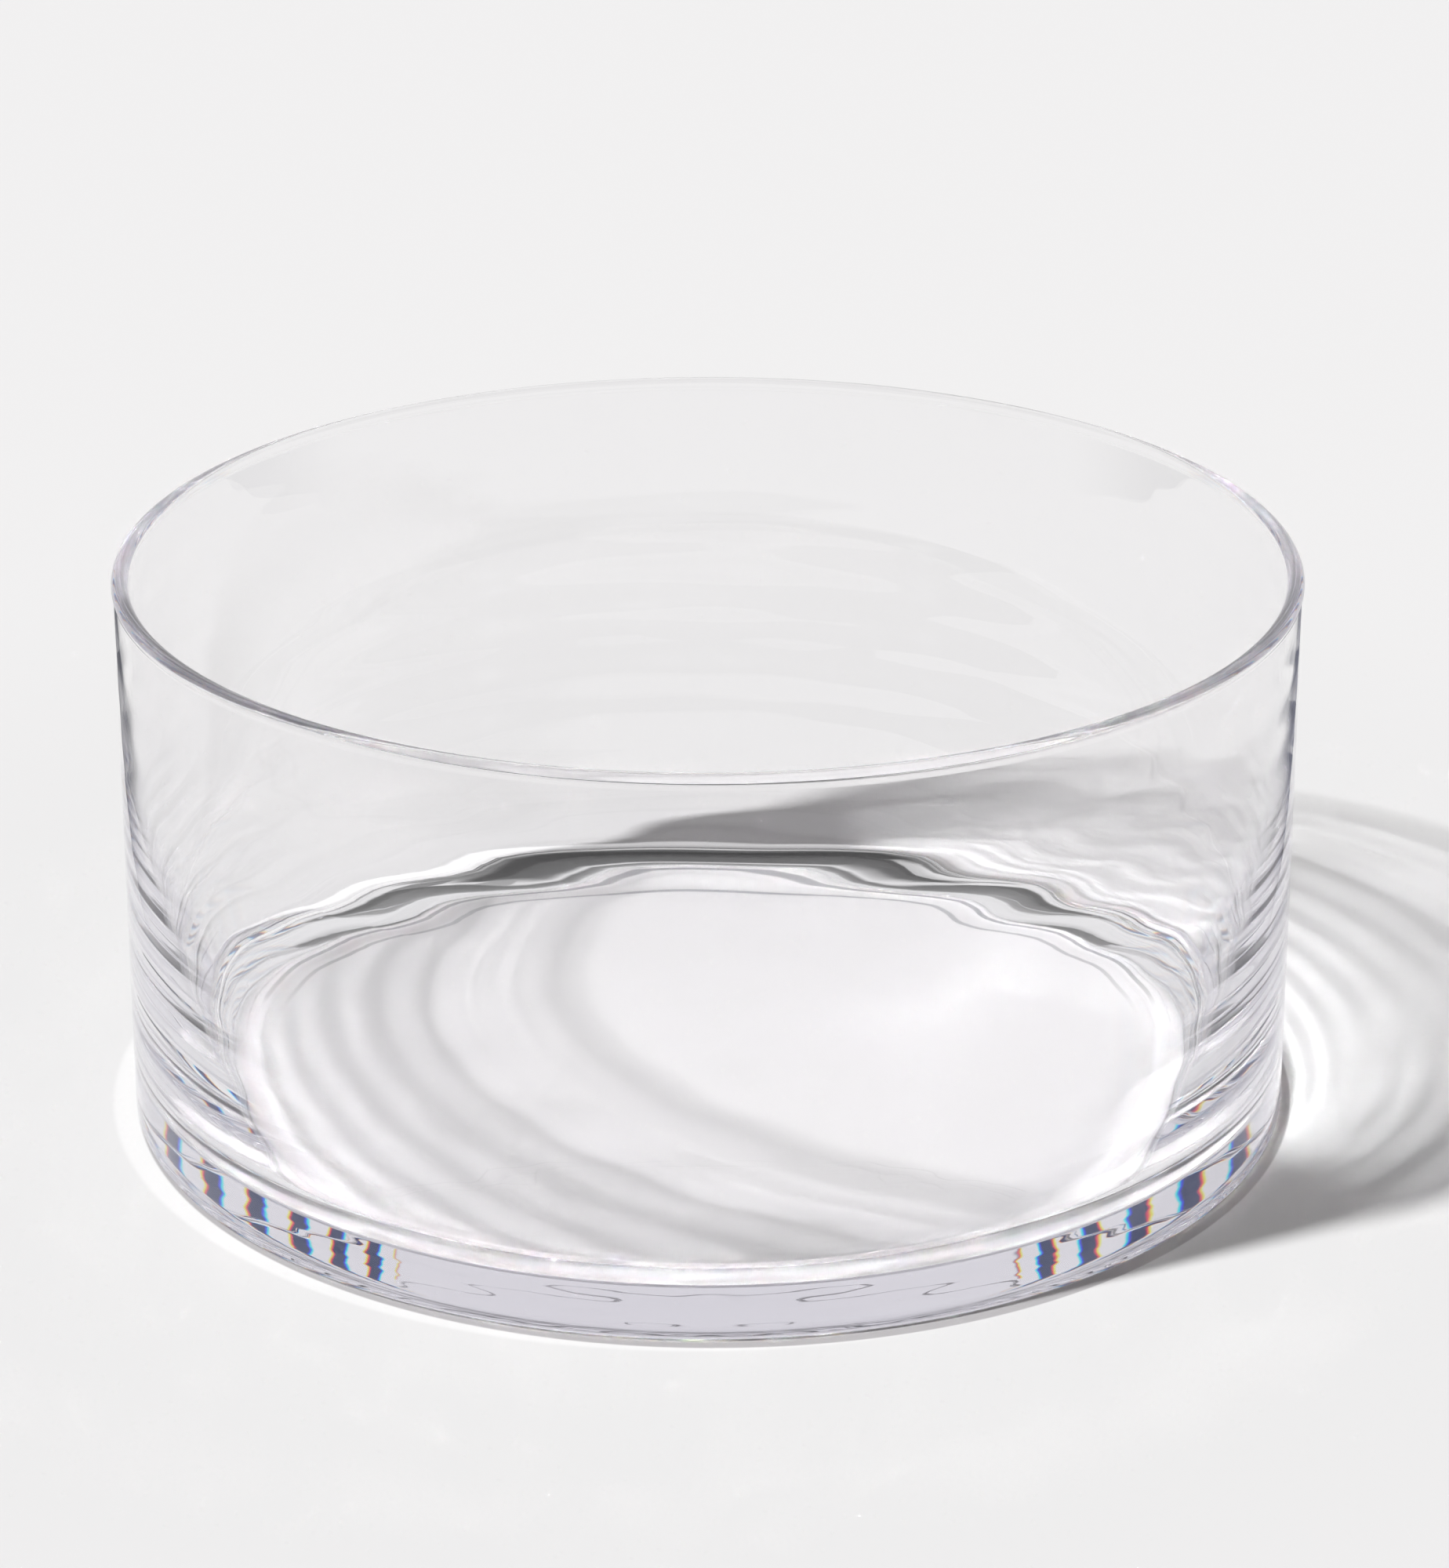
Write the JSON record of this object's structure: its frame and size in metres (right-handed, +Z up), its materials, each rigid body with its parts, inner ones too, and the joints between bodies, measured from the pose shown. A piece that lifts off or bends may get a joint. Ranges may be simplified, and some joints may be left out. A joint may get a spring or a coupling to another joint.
{
  "type": "salad bowl",
  "caption": "Clear glass salad bowl with an upright round wall that thickens towards a flat base, and a rounded rim, for serving food.",
  "frame": {"origin": "centre of the flat underside, on the bowl's axis", "axes": "+Z up along the bowl's axis, from the underside to the open mouth; the bowl is round, so X and Y are any two level directions"},
  "size_m": [0.25, 0.25, 0.12],
  "materials": {
    "clear_glass": "clear, smooth, fire-polished at the rim"
  },
  "bodies": {
    "root": {"bowl": "clear_glass"}
  },
  "joints": []
}
